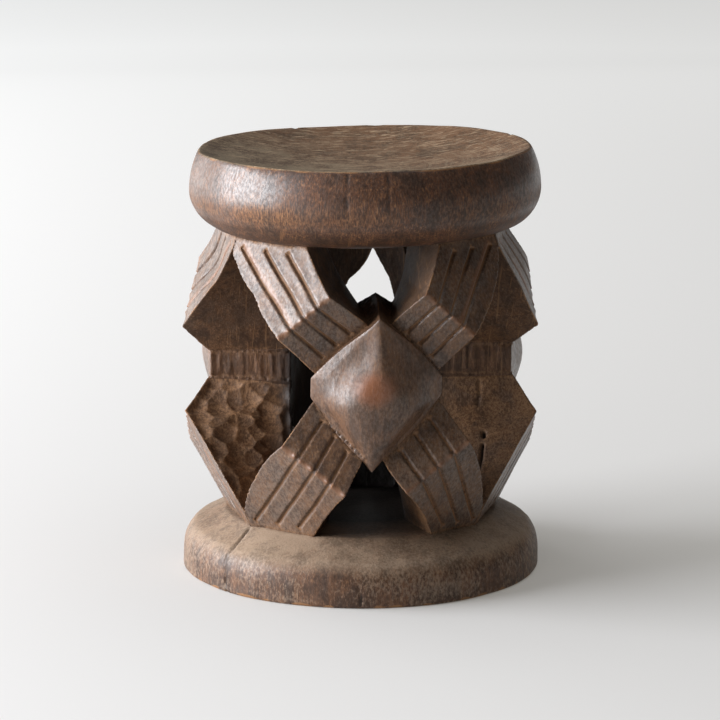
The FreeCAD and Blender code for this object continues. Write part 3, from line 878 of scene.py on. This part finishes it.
points, faces = turned_disc(seat_profile)
normals = normals_of(points, faces)
radius = np.hypot(points[:, 0], points[:, 1])
off_rim = np.hypot(radius - SEAT_RIM_RADIUS, points[:, 2] - SEAT_RIM_HEIGHT)
dish = np.clip(normals[:, 2] * 3 - 1.6, 0, 1) * (radius < SEAT_RIM_RADIUS + 1)
under = np.clip((SEAT_UNDERSIDE + 6 - points[:, 2]) / 6, 0, 1)
nick = np.clip(swell(points, 9, 91) - 0.45, 0, 1) * np.exp(-(off_rim / NICK_REACH) ** 2)
tick = np.clip(swell(points * (1, 1, 0.12), 4.5, 95) - 0.42, 0, 1)
tick = tick * np.exp(-((SEAT_RIM_HEIGHT - points[:, 2]) / TICK_LENGTH) ** 2)
planed, _, _ = strokes(points, SEAT_STROKE, 81)
check = np.max([crack_depth(points, path, SEAT_CHECK_WIDTH) for path in SEAT_CHECKS], axis=0)
height = points[:, 2].copy()
depth = SEAT_STROKE_DEPTH * planed * (1 - under) + check + NICK_DEPTH * nick
depth = depth + RIM_EASE * np.exp(-(off_rim / RIM_EASE_REACH) ** 2) + TICK_DEPTH * tick * (1 - dish)
points -= normals * depth[:, None]
high_side = np.array(at_angle(SEAT_HIGH_SIDE, 1, 0))
over = points[:, 2:] - SEAT_UNDERSIDE
uphill = (points @ high_side)[:, None]
leaned = points + high_side * (uphill * (math.cos(SEAT_TILT) - 1) - over * math.sin(SEAT_TILT))
leaned[:, 2:] = SEAT_UNDERSIDE + uphill * math.sin(SEAT_TILT) + over * math.cos(SEAT_TILT)
points = hand_wobble(leaned + (SEAT_SHIFT, 0, 0))
bare_band = np.exp(-((height - SEAT_BARE_HEIGHT) / SEAT_BARE_REACH) ** 2)
masks = {
    "wear": np.clip(1 - off_rim / 8, 0, 1) * np.clip(0.95 + 0.4 * swell(points, 11, 97), 0.5, 1.1),
    "bare": bare_band * np.clip(0.6 + 0.6 * swell(points, 45, 99), 0.1, 1),
    # The wall entry darkens the band below the shade height, under the full side: painted shade
    "wall": np.clip((SEAT_SHADE_HEIGHT - height) / SEAT_SHADE_REACH, 0, 1),
    "dish": dish,
    # Painted shade under the middle of the seat
    "inner_shade": under * np.clip((SEAT_INNER_SHADE_RADIUS - radius) / SEAT_INNER_SHADE_REACH, 0, 1),
    # The checks and the ticks under the rim are darkened to near-black: painted shade in them
    "crack": np.maximum(np.clip(tick * 1.5 - 0.2, 0, 1), 0.8 * check) * (1 - dish),
}
piece = make_piece("stool_seat", points, faces, masks, seat_wood, TURNED_SHARE)
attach(piece, "root")
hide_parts("seat")


# Floor and studio. A plain pale paper floor that glows with painted light, dim near the stool and brighter far
# off and to the left, a large soft window of light on the left, light from two pale walls behind and from a
# ceiling.
# The camera stands where the photograph was taken.
FLOOR_RADIUS = 25.0
floor_mesh = bpy.data.meshes.new("floor")
rim_angles = np.linspace(0, 2 * math.pi, 96, endpoint=False)
rim_points = [(FLOOR_RADIUS * math.cos(a), FLOOR_RADIUS * math.sin(a), 0) for a in rim_angles]
floor_mesh.from_pydata(rim_points, [], [tuple(range(len(rim_points)))])
floor_paper = bpy.data.materials.new("floor_paper")
floor_paper.use_nodes = True
paper = floor_paper.node_tree.nodes["Principled BSDF"]
paper.inputs["Base Color"].default_value = (0.59, 0.59, 0.59, 1.0)
paper.inputs["Roughness"].default_value = 0.7
paper.inputs["Specular IOR Level"].default_value = 0.1
paper.inputs["Emission Strength"].default_value = 1.0
# The floor's emission is painted light: dim near the stool, brighter far off and on the left
floor_place = Shade(floor_paper.node_tree).node("ShaderNodeTexCoord", {}, {}, "Object")
far = floor_place.node("ShaderNodeVectorMath", {"operation": "LENGTH"}, {0: floor_place}, "Value")
across = floor_place.node("ShaderNodeSeparateXYZ", {}, {"Vector": floor_place}, "X")
wide = toned((0.77, 0.78, 0.78, 1.0), (0.57, 0.57, 0.56, 1.0), band(across, -1.3, 1.3))
glow = toned((0.115, 0.108, 0.094, 1.0), wide, far * 0.25)
floor_paper.node_tree.links.new(glow.socket, paper.inputs["Emission Color"])
floor_mesh.materials.append(floor_paper)
floor = bpy.data.objects.new("floor", floor_mesh)
bpy.context.scene.collection.objects.link(floor)

room = bpy.data.worlds.new("room")
room.use_nodes = True
room.node_tree.nodes["Background"].inputs["Color"].default_value = (1.0, 0.98, 0.95, 1.0)
room.node_tree.nodes["Background"].inputs["Strength"].default_value = 0.07
bpy.context.scene.world = room


def soft_light(name, location, target, width, height, watts, colour):
    """A large even panel of light."""
    panel = bpy.data.lights.new(name, "AREA")
    panel.shape = "RECTANGLE"
    panel.size = width
    panel.size_y = height
    panel.energy = watts
    panel.color = colour
    stand = bpy.data.objects.new(name, panel)
    stand.location = location
    stand.rotation_euler = (Vector(target) - Vector(location)).to_track_quat("-Z", "Y").to_euler()
    bpy.context.scene.collection.objects.link(stand)


soft_light("window", (-3.45, -0.15, 1.0), (0, 0, 0.3), 3.2, 2.0, 350.0, (0.97, 0.98, 1.02))
soft_light("back_wall", (0, 3.3, 1.4), (0, 0, 0.6), 7.0, 2.5, 6.0, (1.0, 1.0, 1.0))
soft_light("left_wall", (-2.4, 2.4, 1.1), (0, 0, 0.3), 2.4, 2.2, 36.0, (1.0, 1.0, 1.0))
soft_light("ceiling", (0, 0, 2.8), (0, 0, 0), 3.0, 3.0, 30.0, (1.0, 0.98, 0.95))

lens = bpy.data.cameras.new("camera")
lens.sensor_width = 36.0
lens.lens = 174.25
lens.shift_x = -1 / 720
camera = bpy.data.objects.new("camera", lens)
camera.location = (-0.2916, -3.2038, 0.891)
camera.rotation_euler = (math.radians(77.8), 0, math.radians(-5.2))
bpy.context.scene.collection.objects.link(camera)
bpy.context.scene.camera = camera
bpy.context.scene.view_settings.view_transform = "Standard"
